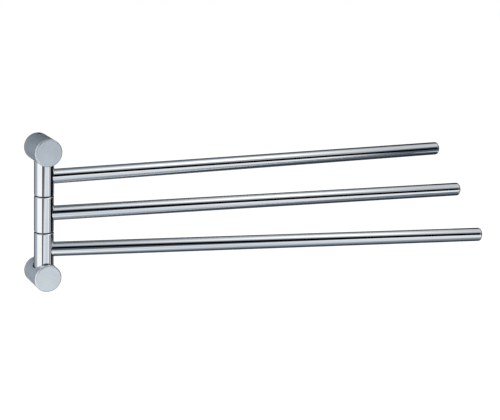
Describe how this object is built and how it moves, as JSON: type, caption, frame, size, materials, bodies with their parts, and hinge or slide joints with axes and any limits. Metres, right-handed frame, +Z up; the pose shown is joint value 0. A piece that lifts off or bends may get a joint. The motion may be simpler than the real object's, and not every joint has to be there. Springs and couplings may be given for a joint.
{
  "type": "swing arm towel bar",
  "caption": "Wall-mounted towel bar with round chromed bars that swing on one upright held between two round satin wall mounts.",
  "frame": {"origin": "on the wall plane, midway between the two wall screw holes", "axes": "+X along the bars as they lie against the wall, +Y into the wall, +Z up along the upright; the mounts' faces look along -Y"},
  "size_m": [0.4033, 0.109, 0.127],
  "materials": {
    "polished_chrome": "polished",
    "satin_chrome": "satin",
    "black_nylon": "moulded",
    "stainless_steel": "turned",
    "turned_brass": "turned"
  },
  "bodies": {
    "wall_frame": {"upper_mount": "satin_chrome", "lower_mount": "satin_chrome", "upper_wall_bracket": "turned_brass", "lower_wall_bracket": "turned_brass", "upper_bracket_grub_screw": "stainless_steel", "lower_bracket_grub_screw": "stainless_steel", "upper_spindle_grub_screw": "stainless_steel", "lower_spindle_grub_screw": "stainless_steel", "spindle": "stainless_steel", "wave_washer": "stainless_steel", "thrust_washer": "stainless_steel"},
    "top_arm": {"top_sleeve": "polished_chrome", "top_upper_bush": "black_nylon", "top_lower_bush": "black_nylon", "top_tube": "polished_chrome", "top_root_plug": "turned_brass", "top_end_cap": "polished_chrome"},
    "middle_arm": {"middle_sleeve": "polished_chrome", "middle_upper_bush": "black_nylon", "middle_lower_bush": "black_nylon", "middle_tube": "polished_chrome", "middle_root_plug": "turned_brass", "middle_end_cap": "polished_chrome"},
    "bottom_arm": {"bottom_sleeve": "polished_chrome", "bottom_upper_bush": "black_nylon", "bottom_lower_bush": "black_nylon", "bottom_tube": "polished_chrome", "bottom_root_plug": "turned_brass", "bottom_end_cap": "polished_chrome"}
  },
  "joints": [
    {"name": "top_arm_swing", "type": "hinge", "parent": "wall_frame", "child": "top_arm", "pos_m": [0, -0.017, 0.0304], "axis": [0, 0, -1], "range_deg": [0, 180]},
    {"name": "middle_arm_swing", "type": "hinge", "parent": "wall_frame", "child": "middle_arm", "pos_m": [0, -0.017, 0], "axis": [0, 0, -1], "range_deg": [-5.9, 174.1]},
    {"name": "bottom_arm_swing", "type": "hinge", "parent": "wall_frame", "child": "bottom_arm", "pos_m": [0, -0.017, -0.0304], "axis": [0, 0, -1], "range_deg": [-12.75, 167.25]}
  ]
}
